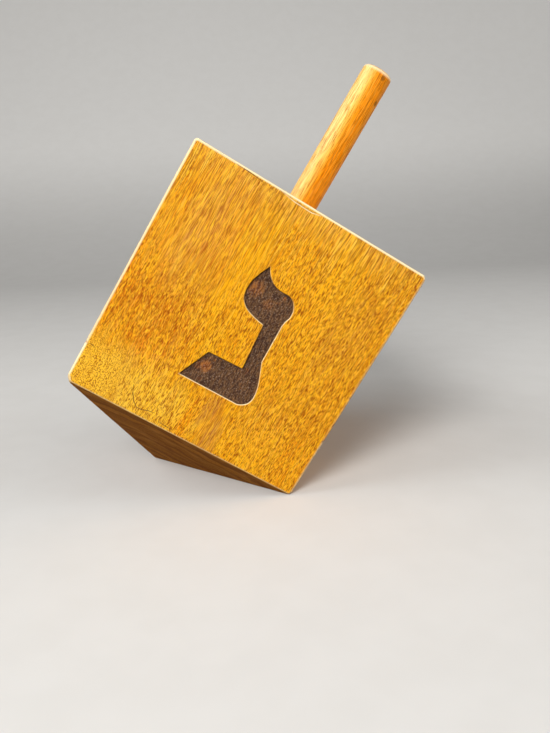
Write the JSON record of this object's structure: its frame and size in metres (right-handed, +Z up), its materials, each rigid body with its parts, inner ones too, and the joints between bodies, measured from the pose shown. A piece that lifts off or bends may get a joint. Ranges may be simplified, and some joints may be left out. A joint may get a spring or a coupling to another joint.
{
  "type": "dreidel",
  "caption": "Large wooden dreidel: a square block with a four-sided point, a dowel stem and a burnt-in letter on each side, lying on one face of its point.",
  "frame": {"origin": "centroid of the face of the point that the dreidel rests on", "axes": "+Z up, square to the resting face; +X along that face from the tip to the block's edge, so the stem leans towards +X; the side with the letter nun looks along -Y"},
  "size_m": [0.1345, 0.097, 0.1638],
  "materials": {
    "block_wood": "satin oil on open-pored hardwood, sanded edges, letters burnt dark",
    "stem_wood": "satin oil on straight-grained dowel"
  },
  "bodies": {
    "root": {"body": "block_wood", "stem": "stem_wood"}
  },
  "joints": []
}
